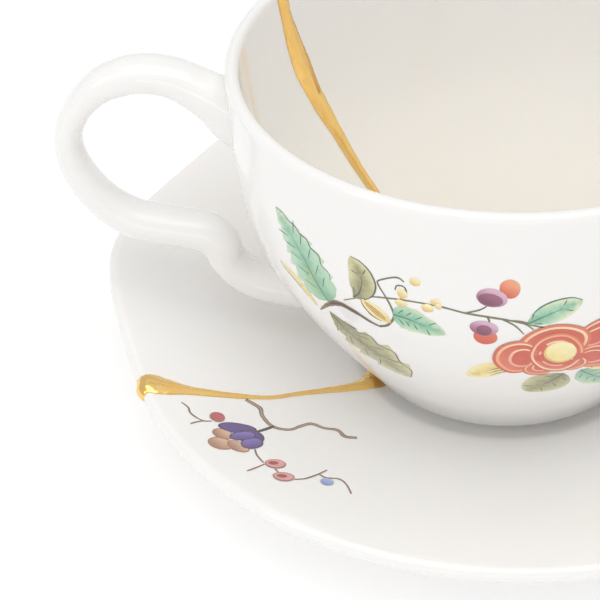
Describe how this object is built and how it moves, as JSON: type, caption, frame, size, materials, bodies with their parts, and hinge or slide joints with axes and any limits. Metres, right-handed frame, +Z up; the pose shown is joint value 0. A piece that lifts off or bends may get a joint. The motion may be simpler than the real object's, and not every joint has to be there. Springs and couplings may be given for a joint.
{
  "type": "kintsugi cup and saucer",
  "caption": "Porcelain teacup with an ear handle resting on a half lobed saucer, both mended with raised gold seams and painted with floral sprays.",
  "frame": {"origin": "on the table, under the middle of the whole outline seen from above", "axes": "+Z up; the handle points along -X; the smooth round front of the saucer is on the -Y side"},
  "size_m": [0.1644, 0.1566, 0.0736],
  "materials": {
    "porcelain": "glossy glaze",
    "gold": "polished, slightly uneven gold"
  },
  "bodies": {
    "root": {"cup": "porcelain", "saucer": "porcelain", "cup_gold_seam": "gold", "saucer_gold_seam": "gold"}
  },
  "joints": []
}
